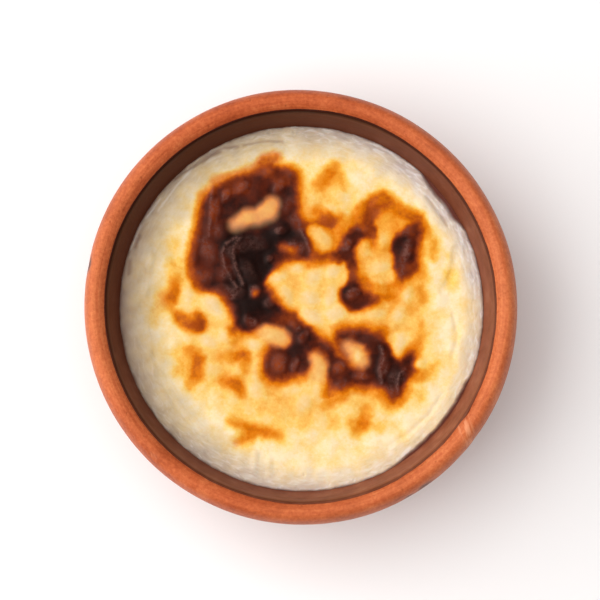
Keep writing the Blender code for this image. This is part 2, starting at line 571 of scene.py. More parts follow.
# Outlines of scorched skin, as (x, y) in mm, each with its depth from 0 to 1
SCORCHED = [
    # the large hook on the left and the arm that runs down from it
    (0.78, [(-1.8, 38.6), (-5, 39.6), (-8, 40.6), (-12.5, 38.8), (-17, 37.4), (-20.5, 36),
            (-23.4, 34.8), (-26.2, 32.4), (-27.6, 29.5), (-28.4, 25), (-29.2, 21), (-30, 17),
            (-30.2, 13), (-29.6, 9.4), (-27.6, 6.6), (-24.4, 5.2), (-21.8, 3.2), (-20, 0.6),
            (-18.8, -3), (-18.4, -5.2), (-16.8, -6.1), (-13.2, -5.6), (-10, -4.6), (-7, -4.2),
            (-4.8, -5.6), (-2.8, -8.2), (-1.5, -10.4), (2, -10.6), (4, -8.2), (2.8, -5.6),
            (0.2, -3.9), (-1.9, -1.9), (-4.6, -1.2), (-6.6, 1.6), (-8.8, 4.6), (-10.8, 7.8),
            (-10.8, 10), (-7.6, 12), (-5.4, 13.6), (-4.2, 14.4), (0, 14.6), (2.6, 14.2),
            (3.6, 16), (2.6, 19.6), (1.2, 23.6), (-1, 27.4), (-0.9, 31.4), (-1.6, 35)]),
    # the patch below the middle
    (0.7, [(-1, -9.8), (-4.6, -10.4), (-8.4, -10.8), (-10, -13.4), (-10.3, -17), (-8.6, -19.2),
           (-5.4, -20), (-1.6, -18.7), (1.2, -18.4), (2.8, -16.6), (2.2, -13.2), (3.2, -10.6)]),
    # the bridge and the ring at the lower right
    (0.76, [(3.8, -7.8), (6.4, -8.6), (8.8, -10.4), (10.2, -13.2), (12.4, -14.6), (14.8, -16.6),
            (17.6, -16.9), (19.4, -15.2), (19.2, -12.6), (17.6, -10.4), (15, -9.2), (12, -9),
            (10.2, -8.6), (10.4, -6.8), (13.2, -5.6), (16.8, -5.9), (20.4, -6.8), (22.4, -6.7),
            (23.4, -8.8), (24.8, -11.6), (26, -14), (28, -14.8), (29.8, -13), (31.4, -12.4),
            (32, -14.2), (32.2, -17.2), (30.4, -19.2), (28.9, -21.6), (27.5, -24.4),
            (25.8, -25.8), (24.4, -24), (22.4, -22.1), (18.8, -21.6), (14.6, -21.4),
            (11.4, -22.6), (8.8, -22), (7.8, -19), (7.6, -15.8), (7, -13.2), (4.8, -11.6),
            (2.4, -10.8)]),
    # the oval on the right
    (0.75, [(33.6, 24.4), (34.6, 21.8), (33.6, 18.8), (33.2, 15), (32.8, 11.6), (30.6, 9.4),
            (28.6, 8), (26.8, 10), (26.2, 14), (26.6, 17.6), (28.2, 21), (30.6, 23.6)]),
]

# Browning as brush strokes: (x, y, half width, depth), laid on one after another
AMBER = [
    [(20.5, 9, 4.5, 0.2), (21.5, 17, 5, 0.27), (23, 25, 5, 0.27)],
    [(4, 21, 4, 0.22), (7.5, 17, 3.4, 0.2)],
    [(4, 30, 4, 0.16), (8, 33, 4, 0.16)],
    [(-27.2, 33, 1.6, 0.36), (-28.6, 27, 1.4, 0.42), (-29.8, 20, 1.5, 0.5), (-30.8, 13, 2.2, 0.5),
     (-29.8, 8, 2.2, 0.48), (-26, 5.2, 2, 0.44)],
    [(-24, 36.2, 1.8, 0.34), (-17, 38, 1.8, 0.36), (-12.5, 39.6, 2, 0.4), (-9.6, 41.8, 2.6, 0.46),
     (-7.6, 43.2, 2, 0.42)],
    [(-3, 39.8, 1.8, 0.42), (-1.2, 38, 1.3, 0.35), (-0.2, 33, 1, 0.3)],
    [(9.2, 40.6, 1.9, 0.3), (8.6, 39, 2.2, 0.36), (5.6, 35.8, 1.9, 0.34)],
    [(11, 37.8, 1.6, 0.26), (12.4, 34.8, 1.3, 0.2)],
    [(-1, 24.2, 1.4, 0.56), (4, 24.2, 1.2, 0.46), (8.4, 24.6, 2.2, 0.5), (11.2, 25.8, 1.5, 0.42)],
    [(4.6, 27.8, 1.7, 0.38), (7.2, 26, 2, 0.52)],
    [(8.6, 22.4, 1.2, 0.34)],
    [(9, 17.4, 1.4, 0.3), (9.8, 19.4, 1.6, 0.34)],
    [(12.4, 22.4, 2.4, 0.36), (14.2, 24.4, 2.2, 0.34), (17.4, 26.2, 2.4, 0.42)],
    [(17.8, 28.8, 2.1, 0.4), (20.4, 30.3, 2.2, 0.46), (23.4, 31.6, 2.4, 0.44),
     (26.4, 29.4, 2.2, 0.38), (29.6, 27.4, 2.2, 0.42), (33.4, 25.6, 2.3, 0.46),
     (35.6, 22, 1.8, 0.36)],
    [(23.6, 24.4, 2.6, 0.24), (26.6, 22.6, 2.2, 0.34)],
    [(18.6, 10, 1.8, 0.34), (17.4, 7, 1.9, 0.4)],
    [(20, 6.4, 1.9, 0.42), (24.4, 6, 1.5, 0.31), (28, 7.2, 2, 0.36)],
    [(20.6, 13.4, 1.2, 0.22), (24.6, 13, 1.4, 0.22)],
    [(17.8, 0.9, 1.8, 0.4), (21.4, 1, 1.6, 0.3)],
    [(2.4, 13.4, 1.6, 0.34), (6, 13.4, 1.4, 0.3), (10, 13.2, 1.6, 0.34)],
    [(-36.7, 12.7, 1.8, 0.2)],
    [(-33.6, -14.8, 1.8, 0.22)],
    [(42.8, 9.6, 2.2, 0.15), (43, 6.4, 2, 0.13)],
    [(-42, -3, 2.2, 0.15), (-39.6, 3.2, 2.2, 0.22)],
    [(-34.4, -17.8, 2.2, 0.21)],
    [(-36.4, 18.6, 2.2, 0.15)],
    [(21.6, -33.2, 2, 0.17)],
    [(33.6, -24, 2.2, 0.17)],
    [(-15.2, -39.4, 1.8, 0.17)],
    [(33.4, 11, 1.8, 0.38), (35.4, 8.4, 1.5, 0.26)],
    [(37.8, 19, 1.5, 0.27), (37.8, 15, 1.5, 0.26)],
    [(34, 6, 1.5, 0.29), (34.6, 3, 1.5, 0.28)],
    [(30.8, 0.2, 1.6, 0.23), (33.4, -1.2, 1.4, 0.17)],
    [(33.8, -4.6, 1.5, 0.26), (34.2, -7.4, 1.5, 0.25), (32.2, -12, 1.6, 0.36)],
    [(27.6, 2.2, 1.5, 0.27), (25, -2, 1.2, 0.22)],
    [(37, -17, 1.5, 0.24), (39, -15.6, 1.2, 0.18)],
    [(33, -19.6, 1.6, 0.34), (36.4, -18, 1.6, 0.2)],
    [(30.2, -23.2, 1.7, 0.26), (27, -26.2, 1.8, 0.36), (25, -28.2, 1.4, 0.18)],
    [(9.4, -8.8, 1.5, 0.4), (11.4, -10.6, 1.7, 0.52), (13, -12.8, 1.5, 0.54)],
    [(11, -6.2, 1.1, 0.36), (17.5, -5.8, 1.1, 0.32), (23, -6.3, 1.4, 0.38)],
    [(8, -23.4, 2.5, 0.42), (11.6, -23.8, 2.1, 0.36), (6.6, -26.8, 1.6, 0.28),
     (4.6, -31, 1.1, 0.18)],
    [(16, -22, 1.4, 0.36), (20.8, -22.8, 1.4, 0.38), (24.5, -25.2, 1.5, 0.38)],
    [(18.8, -28.8, 1.8, 0.28), (17.6, -31.8, 2.3, 0.38), (15.6, -34.4, 1.7, 0.3)],
    [(14.4, -31.8, 1.4, 0.26)],
    [(9.2, -32, 1.8, 0.18)],
    [(-9.8, -11.8, 1, 0.34), (-10.8, -15.4, 1, 0.36), (-10.2, -19.6, 1.4, 0.36),
     (-6, -20.6, 1.4, 0.38), (-2, -19.8, 1.2, 0.26), (2.4, -19.4, 1.1, 0.22)],
    [(-2, -28.2, 2.2, 0.18)],
    [(-5.6, -25, 2, 0.2), (-8.5, -23, 1.9, 0.2)],
    [(-22.4, -13.6, 1.5, 0.28), (-18.4, -13.4, 1.8, 0.38), (-16.2, -13, 1.9, 0.42),
     (-16, -17.4, 1.4, 0.32)],
    [(-16.6, -10.8, 1.3, 0.3)],
    [(-22, -20.4, 1.7, 0.32), (-18.4, -21.6, 2.1, 0.42), (-17, -23.6, 1.6, 0.38)],
    [(-31.4, -12, 1.8, 0.36), (-29.4, -14, 1.9, 0.46), (-29.8, -18.4, 2, 0.38),
     (-31.6, -21.6, 1.9, 0.26)],
    [(-34.6, -11.8, 1.8, 0.16)],
    [(-35.4, 9.6, 1.8, 0.26), (-35.8, 5.8, 2, 0.4), (-36.8, 3.4, 2, 0.44),
     (-37.2, 0.6, 1.8, 0.26), (-35.4, -1.4, 1.6, 0.3)],
    [(-34.2, -2.4, 1.9, 0.44), (-31.4, -4.4, 2.3, 0.5), (-29.2, -5, 2.1, 0.52)],
    [(-29.5, -1.8, 1.5, 0.45), (-29.2, -3.8, 1.9, 0.52)],
    [(-19, -6.6, 1.8, 0.46), (-18.8, -8.6, 1.6, 0.32)],
    [(-19.8, -32, 1.3, 0.28), (-15.4, -33.4, 1.8, 0.38), (-10, -35, 1.8, 0.38),
     (-6.2, -35.6, 1.5, 0.3)],
    [(-14.6, -35.8, 1.9, 0.36), (-18, -37.6, 1.7, 0.28)],
    [(-6.4, -6.8, 1.5, 0.34)],
    [(-33.2, 14, 1.6, 0.18), (-33.8, 10, 1.4, 0.18)],
]
BROWN = [
    # the stalk and the round patch right of the middle
    [(4.4, 15, 1.1, 0.56), (8, 15, 1, 0.52), (11, 15.2, 1.8, 0.66), (12.8, 16.4, 2.3, 0.8),
     (14.2, 19.4, 2.2, 0.76), (16.4, 21.8, 2.3, 0.74), (19.6, 22.2, 2, 0.66)],
    [(19.2, 23.4, 1.9, 0.58), (19.4, 26.4, 2, 0.54), (21, 28.4, 2.3, 0.52),
     (23.6, 29.6, 2.4, 0.47)],
    [(14.4, 14.6, 2.1, 0.7), (15.2, 10.5, 1.5, 0.6), (14.8, 7, 1.9, 0.68)],
    [(14.4, 4, 3.4, 0.84), (17, 2.9, 2.3, 0.74), (20.6, 3, 1.6, 0.6), (24, 3.6, 1.3, 0.42),
     (27.4, 3.6, 1.2, 0.3)],
    [(15.4, 2, 2.5, 0.74)],
    [(20.6, 21, 1.3, 0.54), (20.6, 18, 1.1, 0.38)],
    # deeper parts of the big scorch, and where it is only red-brown
    [(-19, 18, 4, 0.93), (-14.5, 15.9, 5.5, 1), (-12.8, 13, 4.4, 1), (-16.5, 8, 4.8, 0.95),
     (-14.5, 2.5, 4.2, 0.95), (-15.2, -2.6, 2.8, 0.88)],
    [(-9, 18.8, 3.2, 0.96), (-5, 21.4, 3, 0.93), (-1.6, 20, 2.2, 0.9)],
    [(-10.6, 0.8, 3, 0.92), (-8, -0.8, 2, 0.86)],
    [(0.8, -8.4, 2.6, 0.82), (-1, -11.4, 2.2, 0.84), (-2.4, -14.4, 2.4, 0.8)],
    [(-13, 33.8, 3.2, 0.72)],
    [(-6.2, -2.8, 1.8, 0.64), (-2.6, -2.6, 1.5, 0.58)],
    [(-24.8, 30, 2.2, 0.72), (-25.2, 24, 2.4, 0.74), (-26, 18, 2.4, 0.76), (-27, 12, 2.4, 0.72)],
    [(-9, 38.4, 2.2, 0.62), (-4.6, 37.2, 2.2, 0.68)],
    [(-20.6, 34.2, 2, 0.64), (-17, 35.4, 1.8, 0.66)],
    [(-8, -14.8, 2.2, 0.68), (-7.8, -17.6, 2, 0.68)],
    [(0.8, -15, 1.6, 0.76)],
    [(23.2, -12.4, 2.6, 0.8), (23.4, -17, 3.2, 0.84), (26.4, -19.4, 2.9, 0.92)],
    [(10.4, -17, 2.4, 0.7)],
    [(26.8, -23, 1.3, 0.7)],
    [(29.4, 18.6, 2.9, 0.84), (28.9, 15.6, 2.6, 0.8), (28.8, 12.6, 2, 0.76)],
    [(31.6, 22.4, 1.6, 0.66)],
    [(31.6, 12, 1.4, 0.62)],
]

# Grains that stay pale where the skin over them stands proud, the peach ones first
PALE = [
    [(-18.6, 24.2, 1.7, 0.4), (-15.2, 26.2, 2.3, 0.3), (-12.2, 26.3, 2.2, 0.34),
     (-9.4, 27.9, 2.7, 0.32)],
    [(-8.2, 30, 2, 0.32)],
    [(13.4, -10.6, 1.4, 0.38), (15.4, -12.2, 2.1, 0.3), (17.2, -14.8, 1.7, 0.3)],
    [(4.3, -14.2, 1.4, 0.38), (5.4, -16.2, 1.9, 0.28), (4.6, -19.2, 2, 0.2)],
    [(-9.8, -7, 2.2, 0.24), (-5.8, -8, 2.3, 0.24)],
    [(-13, 4.6, 1.3, 0.5)],
    [(-5.4, 17.8, 1.4, 0.5), (-2, 16.4, 1.3, 0.48)],
    [(-26.2, 1.7, 2.7, 0.1), (-23.6, -1.6, 2.1, 0.08)],
    [(-32.6, 6.4, 1.6, 0.16), (-32.2, 2, 2.2, 0.1)],
    [(4.2, 21.6, 2, 0.22), (6.5, 19, 2.3, 0.2)],
    [(3.2, -0.6, 3.4, 0.12), (7, 0.4, 3, 0.1)],
    [(9, 10.4, 2, 0.14), (11, 8.6, 2, 0.13)],
    [(18, 18.2, 1.7, 0.26), (17.4, 15.2, 1.9, 0.26)],
    [(27.4, -12, 1.5, 0.14), (27.2, -8.6, 1.9, 0.12)],
    [(34, -15.4, 1.3, 0.14)],
    [(20.2, 14.6, 2.2, 0.18), (21.6, 10.4, 2.8, 0.17), (24.4, 9.8, 2.4, 0.17),
     (24, 14.4, 2, 0.18)],
    [(24, 20.6, 1.8, 0.2), (24.8, 23.6, 1.4, 0.22)],
]


def off_stretch(x, y, x1, y1, x2, y2):
    """How far along a straight stretch a point lies, 0 to 1, and its distance in mm."""
    run = (x2 - x1) ** 2 + (y2 - y1) ** 2 or 1.0
    share = np.clip(((x - x1) * (x2 - x1) + (y - y1) * (y2 - y1)) / run, 0, 1)
    return share, np.hypot(x - x1 - share * (x2 - x1), y - y1 - share * (y2 - y1))


def inside_outline(x, y, corners):
    """Distance to a closed outline in mm, positive inside it."""
    nearest = np.full_like(x, 1e9)
    inside = np.zeros_like(x, dtype=bool)
    for (x1, y1), (x2, y2) in zip(corners, corners[1:] + corners[:1]):
        nearest = np.minimum(nearest, off_stretch(x, y, x1, y1, x2, y2)[1])
        crosses = (y1 > y) != (y2 > y)
        rise = y2 - y1 if y2 != y1 else 1e-9
        inside = inside ^ (crosses & (x < x1 + (y - y1) * (x2 - x1) / rise))
    return np.where(inside, nearest, -nearest)


def brush(x, y, stroke, soft):
    """A stroke's cover, 0 to 1 with an edge as wide as soft, and its value."""
    cover = np.zeros_like(x)
    value = np.zeros_like(x)
    for start, end in zip(stroke, stroke[1:] or stroke):
        x1, y1, half1, value1 = start
        x2, y2, half2, value2 = end
        share, gone = off_stretch(x, y, x1, y1, x2, y2)
        half = half1 + share * (half2 - half1)
        here = fade(half - gone, -soft / 2, soft / 2)
        value = np.where(here > cover, value1 + share * (value2 - value1), value)
        cover = np.maximum(cover, here)
    return cover, value


def browning(x, y):
    """How deeply the skin is browned at a point, from 0, milk, to 1, black."""
    wander_x = 0.4 * noise(x / 4.2, y / 4.2, 31) + 0.3 * noise(x / 1.7, y / 1.7, 32)
    wander_y = 0.4 * noise(x / 4.2, y / 4.2, 33) + 0.3 * noise(x / 1.7, y / 1.7, 34)
    x = PATTERN_SCALE * x + wander_x
    y = PATTERN_SCALE * y + PATTERN_RISE + wander_y
    radius = np.hypot(x, y)
    level = 0.14 - 0.10 * fade(radius, 30, 43) + 0.04 * noise(x / 9, y / 9, 35)
    level = level + 0.03 * np.exp(-((x - 29) ** 2 + (y - 1) ** 2) / 90)
    level = level + 0.045 * noise(x / 5, y / 5, 36) + 0.025 * noise(x / 2.4, y / 2.4, 38)
    for stroke in AMBER:
        cover, value = brush(x, y, stroke, 3.2)
        level = level + cover * np.maximum(value - level, 0)
    for depth, corners in SCORCHED:
        inside = inside_outline(x, y, corners)
        level = level + fade(inside, -3.8, -0.4) * np.maximum(0.34 - level, 0)
        level = level + fade(inside, -1.9, 1.9) * np.maximum(depth - level, 0)
    for stroke in BROWN:
        cover, value = brush(x, y, stroke, 2.8)
        level = np.where(value > 0, level + cover * (value - level), level)
    level = level + 0.05 * noise(x / 2.6, y / 2.6, 37) * fade(level, 0.5, 0.7)
    for stroke in PALE:
        cover, value = brush(x, y, stroke, 2.8)
        level = level + cover * np.minimum(value - level, 0)
    return level


# Folds of the scorched skin, with a painted highlight along their tops: (x, y, half width,
# height) in mm
SCORCHED_FOLDS = [
    [(-17.7, 19.8, 0.4, 0.16), (-20.6, 18, 0.4, 0.2), (-21.7, 15.4, 0.4, 0.22),
     (-21.2, 11.9, 0.4, 0.22), (-19.6, 8.6, 0.4, 0.18), (-17.7, 5.7, 0.4, 0.12)],
    [(-16.6, 19.8, 0.5, 0.18), (-18.2, 17.6, 0.5, 0.24), (-18.8, 15.2, 0.5, 0.28),
     (-17.9, 11.3, 0.5, 0.26), (-16.8, 8.6, 0.5, 0.22), (-15.9, 6.4, 0.5, 0.14)],
    [(0, 22, 0.4, 0.3), (1.6, 19, 0.4, 0.34), (2.6, 15.8, 0.4, 0.26)],
    [(-24.6, 34, 0.9, 0.3), (-25, 29, 1.1, 0.42), (-25.2, 24, 1, 0.4), (-25.6, 20, 0.9, 0.26)],
    [(27, -23.8, 0.5, 0.34), (26.9, -20.6, 0.5, 0.42), (27.6, -18.4, 0.5, 0.42),
     (28.9, -17.3, 0.5, 0.28)],
    [(22.4, -11, 0.6, 0.3), (23.2, -14, 0.7, 0.36), (22, -18, 0.6, 0.34), (22.6, -21, 0.6, 0.26)],
]

# Sharp creases of the film near the wall, painted darker along their lines as shade
FILM_CREASES = [
    [(-22.5, 43.8, 0.35, -0.34), (-25, 43, 0.35, -0.4), (-27.6, 41, 0.35, -0.34)],
    [(-17.6, 45.2, 0.35, -0.3), (-22, 44.8, 0.35, -0.36), (-27, 42, 0.35, -0.36),
     (-30.4, 39.4, 0.35, -0.32)],
    [(-30, 39.7, 0.35, -0.34), (-33, 38, 0.35, -0.4), (-35.2, 36.2, 0.35, -0.3)],
    [(-16, 45.6, 0.3, -0.22), (-10, 46.7, 0.3, -0.22), (-5, 46.6, 0.3, -0.18)],
    [(-46.4, 17, 0.4, -0.3), (-45.2, 20.4, 0.4, -0.3)],
    [(-47.8, 13.4, 0.4, -0.28), (-48, 9.6, 0.4, -0.26)],
    [(35, 31, 0.35, -0.26), (37, 28, 0.35, -0.34), (39.5, 25, 0.35, -0.34),
     (40.6, 22.8, 0.35, -0.22)],
]

# Soft dents and ridges of the pale skin
SOFT_FOLDS = [
    [(43.4, 16.4, 0.9, -0.34), (42.8, 11, 1.1, -0.42), (41.5, 7, 1, -0.4),
     (39.5, 4.6, 0.9, -0.26)],
    [(42.4, -2, 0.5, -0.26), (43.6, -8, 0.5, -0.3), (42, -14, 0.5, -0.22)],
    [(24, -38.4, 0.5, -0.26), (30, -34.6, 0.5, -0.3), (35.4, -29.6, 0.5, -0.28),
     (39.2, -24, 0.5, -0.22)],
    [(-38.4, -22, 0.5, -0.24), (-34, -29, 0.5, -0.3), (-28.4, -35, 0.5, -0.24)],
    [(-12.6, -40.6, 0.8, 0.34), (-12.9, -45.4, 0.8, 0.3)],
    [(-8.8, -42, 0.7, 0.28), (-8.6, -46.6, 0.7, 0.26)],
    [(-42.4, -12, 0.6, 0.26), (-40.8, -18.4, 0.6, 0.26)],
    [(-41.6, 14, 0.7, 0.26), (-43.4, 4, 0.7, 0.26)],
]

# Bright fibres and folds of the film, upper right and upper left, each a line of (x, y) in mm
FIBRES = [
    [(21.9, 45.2), (24.4, 43.9), (27.3, 42.7), (31, 40.8)],
    [(25.4, 43), (28, 40.4)],
    [(29.4, 40.2), (32.8, 38.5), (37.4, 35.6)],
    [(29.4, 38.5), (31.9, 37.2), (35.2, 36.6)],
    [(31.9, 33.9), (35.7, 30.6), (39.5, 26.4), (42.4, 23)],
    [(37.4, 33.8), (40.3, 30.6), (43.7, 26), (45.3, 24.7)],
    [(36.2, 34.4), (38.8, 30.8), (41.2, 27), (42.9, 23.6)],
    [(38.6, 33.1), (40, 29.4), (40.7, 26.4)],
    [(45.3, 24.7), (44.1, 20.5), (44.7, 18)],
    [(46.2, 21.3), (48.2, 16.3), (49, 12.1), (49.4, 6)],
    [(47, 16.3), (48, 9.6), (48.4, 2.4)],
    [(44.5, 18.8), (44.9, 13), (46.2, 8.4)],
    [(-30.4, 39.1), (-34.6, 34.6), (-39.9, 27.4)],
    [(-39.3, 30.7), (-43.2, 25.2)],
    [(-44.9, 23), (-47.7, 16.3)],
]

# The film by angle round the wall: where it starts, where it is alone, and how lit it is painted,
# low on the left where the wall shades it; it reaches further in on the left, partly as painted
# shade
FILM_ANGLES = list(range(0, 360, 45))
FILM_START = [44.5, 43.0, 40.5, 40.0, 36.5, 38.5, 43.5, 46.0]
FILM_FULL = [50.0, 48.8, 50.6, 50.8, 50.8, 50.8, 51.2, 52.0]
FILM_LIGHT = [0.76, 0.72, 0.45, 0.18, 0.02, 0.34, 0.76, 1.0]

# Small bubbles baked into the edge: (x, y, radius), in mm
BUBBLES = [
    (-8.9, 49, 0.8), (-2, 49.2, 0.7), (-11, 48.8, 0.35), (-27.2, 10, 0.35), (-1.5, -50.2, 0.5),
    (8, -48.5, 0.4), (1, -46.2, 0.6), (14.6, -47.6, 0.45), (-33.6, -36.4, 0.5),
    (-30.4, -40.2, 0.35), (44.6, 18.4, 0.4), (-46.8, -14.4, 0.4),
]

# Grains seen one by one: (x, y, turn in degrees, half length, half width), in mm
SEEN_GRAINS = [
    (-15.6, 24.4, 28, 4.4, 2.5), (-9.6, 27.4, 50, 3.8, 2.9), (-7.6, -7.4, -20, 4.6, 2.7),
    (15.6, -12.8, -52, 4.2, 2.4), (5, -16, -72, 4.4, 2.3), (-13, 4.6, 70, 2.4, 1.8),
    (-6.4, 8.8, 20, 3.6, 2.8), (-1.4, 11.2, -10, 3.6, 2.4), (3.2, 8.6, 40, 3.8, 2.6),
    (9.4, 10.8, 60, 3.6, 2.6), (-4, 3.4, -60, 3.8, 2.6), (2, 2.6, 15, 4.4, 2.7),
    (8.4, 3.6, 80, 4.2, 2.5), (5.6, 20, -45, 4.4, 2.6), (17.8, 16.6, 80, 3.8, 2.3),
    (22.4, 18.4, 85, 4, 2.4), (22, 11.2, 10, 4.4, 2.5), (23.4, 26.2, 30, 3.6, 2.2),
    (3, -2.6, -30, 4.2, 2.4), (9.6, -1.6, 20, 4.2, 2.4), (-24.4, 0.6, -40, 4.6, 2.8),
    (-20.4, -8.2, 10, 4.2, 2.6), (-31.6, 4.2, 80, 4.2, 2.4), (-26, -9.4, -30, 4.4, 2.4),
    (-13.6, -10.6, 0, 4, 2.4), (27.6, -9.8, 75, 4.2, 2.2), (32.8, -15.6, 70, 3.4, 2),
    (20.6, -1.4, 0, 4.6, 2.4), (26.8, -1.8, 60, 4, 2.4), (29.2, 3.4, 80, 4.2, 2.2),
    (-8.6, 13.6, 30, 1.6, 1.2), (-24, 27, 85, 4.6, 2), (-16.4, 33.4, 40, 2.8, 1.8),
    (-6.2, 34, 60, 2.6, 1.8), (-9.2, 38.2, 20, 2.8, 1.8), (-5.6, 21.6, 20, 2.6, 1.6),
    (-14.2, -3.8, -20, 2.8, 1.8), (-8.6, 1.6, 50, 2.4, 1.6), (-1.6, -5.2, -40, 2.4, 1.4),
    (0.6, -8.2, 60, 2.4, 1.6), (-6, -15.6, 80, 3.8, 2.9), (-1.6, -16, 80, 2.6, 1.4),
    (10.6, -16.4, 60, 2.8, 1.9), (16.8, -19, 0, 3, 1.6), (22.8, -16.2, 80, 4.4, 2),
    (14.6, 3.8, 30, 2.8, 2), (29.8, 15.8, 70, 4.4, 1.8), (13, 17.4, 60, 2.6, 1.6),
    (17.4, 22, 10, 2.6, 1.5), (22, 29.6, 20, 3, 1.8), (-21, 31.2, 60, 2.6, 1.6),
]


def scattered_grains():
    """The grains under the skin: the ones seen, then more wherever there is room."""
    grains = [grain + (1.0,) for grain in SEEN_GRAINS]
    draw = np.random.default_rng(GRAIN_SEED)
    while len(grains) < GRAIN_COUNT:
        reach = GRAIN_REACH * math.sqrt(draw.random())
        place = math.tau * draw.random()
        x = reach * math.cos(place)
        y = reach * math.sin(place)
        turn = 180 * draw.random()
        length = draw.uniform(3.6, 5.4)
        lift = draw.uniform(0.45, 1.0)
        close = min(math.hypot(x - grain[0], y - grain[1]) for grain in grains)
        if close > GRAIN_SPACING - 0.008 * len(grains):
            grains.append((x, y, turn, length, draw.uniform(2.4, 3.3), lift))
    return grains


def grain_lift(x, y):
    """How far the grains lift the skin at a point, from 0 to about 1."""
    bent_x = x + 0.5 * noise(x / 3, y / 3, 51)
    bent_y = y + 0.5 * noise(x / 3, y / 3, 52)
    total = np.zeros_like(x)
    for grain_x, grain_y, turn, half_length, half_width, lift in scattered_grains():
        angle = math.radians(turn)
        along = (bent_x - grain_x) * math.cos(angle) + (bent_y - grain_y) * math.sin(angle)
        across = (bent_y - grain_y) * math.cos(angle) - (bent_x - grain_x) * math.sin(angle)
        apart = (along / half_length) ** 2 + (across / half_width) ** 2
        here = lift * np.clip(1 - apart / 1.5, 0, 1) ** 2
        total = total + here**3
    return total ** (1 / 3)


def by_angle(x, y, values):
    """A value for each point, from the ones given by angle round the wall."""
    return np.interp(np.degrees(np.arctan2(y, x)), FILM_ANGLES, values, period=360)


def film_share(x, y):
    """Where the skin is only a thin wet film: 0 on the pudding, 1 at the wall."""
    wander = 1.5 * noise(x / 9, y / 9, 61) + 1.1 * noise(x / 3.4, y / 3.4, 62)
    start = by_angle(x, y, FILM_START)
    reach = by_angle(x, y, FILM_FULL) - start
    return np.clip((np.hypot(x, y) + wander - start) / reach, 0, 1)


def film_wrinkles(x, y):
    """Fine creases of the film, most of them running along the wall."""
    radius = np.hypot(x, y)
    turn = np.arctan2(y, x) / math.tau
    slant = radius + 1.6 * noise(x / 8, y / 8, 63)
    along = noise(slant / 1.15, turn * 34, 64, 34)
    fine = noise(slant / 0.6, turn * 58, 65, 58)
    across = noise(slant / 5, turn * 120 + 0.35 * slant, 66)
    return 0.55 * along + 0.3 * fine + 0.35 * across


def edge_gap(x, y):
    """Where the skin has drawn back from the wall: the clay shows through, darkened there as
    painted shade.
    """
    radius = np.hypot(x, y)
    angle = np.degrees(np.arctan2(y, x))
    upper = fade(angle, 24, 32) * (1 - fade(angle, 42, 50))
    lower = fade(angle, -64, -52) * (1 - fade(angle, -26, -20))
    ragged = 0.22 * noise(x / 3.4, y / 3.4, 71) + 0.10 * noise(x / 1.2, y / 1.2, 72)
    width = 0.3 + 1.2 * upper + 0.8 * lower + ragged
    return fade(radius - (SKIN_RADIUS - width), -0.5 - 0.6 * upper, 0.5)


def skin_height(x, y, grains, film, brown, gap):
    """Height of the skin over its mean level, in mm."""
    radius = np.hypot(x, y)
    share = np.clip((radius - SKIN_DIP_START) / (SKIN_RADIUS - SKIN_DIP_START), 0, 1)
    height = -0.8 * share**2.2
    height = height + (0.32 + 0.10 * fade(brown, 0.4, 0.7)) * grains * (1 - 0.7 * film)
    height = height + 0.3 * noise(x / 8, y / 8, 41) + 0.10 * noise(x / 3.6, y / 3.6, 42)
    height = height + 0.12 * film_wrinkles(x, y) * (0.05 + 0.95 * film)
    for fold in SCORCHED_FOLDS + FILM_CREASES + SOFT_FOLDS:
        cover, rise = brush(x + 0.25 * noise(x / 2, y / 2, 43), y, fold, 1.5)
        height = height + cover * rise
    for bubble_x, bubble_y, size in BUBBLES:
        apart = np.hypot(x - bubble_x, y - bubble_y) / size
        ring = np.exp(-(((apart - 1) / 0.35) ** 2))
        height = height + 0.14 * ring - 0.12 * (apart < 1)
    return height - 0.7 * gap


def set_block():
    """The pudding's plain block: a level disc of skin, with walls and base drawn down."""
    bpy.ops.object.select_all(action="DESELECT")
    bpy.ops.mesh.primitive_grid_add(
        x_subdivisions=GRID_STEPS, y_subdivisions=GRID_STEPS, size=2 * SKIN_RADIUS * MM
    )
    block = named_piece("rice_pudding")

    # The square sheet is drawn into a disc
    u, v, _ = read_points(block) / SKIN_RADIUS
    x = u * np.sqrt(1 - v * v / 2)
    y = v * np.sqrt(1 - u * u / 2)
    write_points(block, x * SKIN_RADIUS, y * SKIN_RADIUS, 0 * x + SKIN_TOP)

    bpy.ops.object.mode_set(mode="EDIT")
    bpy.ops.mesh.select_all(action="SELECT")
    bpy.ops.mesh.region_to_loop()
    wall = [point for point in inside_profile() if point[1] < FILL_HEIGHT - 0.1][::3]
    wall = [(FILL_RADIUS - 0.15, FILL_HEIGHT - 0.6)] + wall[1:]
    last = (SKIN_RADIUS, SKIN_TOP)
    for radius, height in wall:
        if radius < BASE_RADIUS:
            break
        drop = (0, 0, (height - last[1]) * MM)
        bpy.ops.mesh.extrude_edges_move(TRANSFORM_OT_translate={"value": drop})
        narrow = (radius - WALL_GAP) / last[0]
        bpy.ops.transform.resize(value=(narrow, narrow, 1), center_override=(0, 0, 0))
        last = (radius - WALL_GAP, height)
    bpy.ops.mesh.edge_face_add()
    closed()
    return block


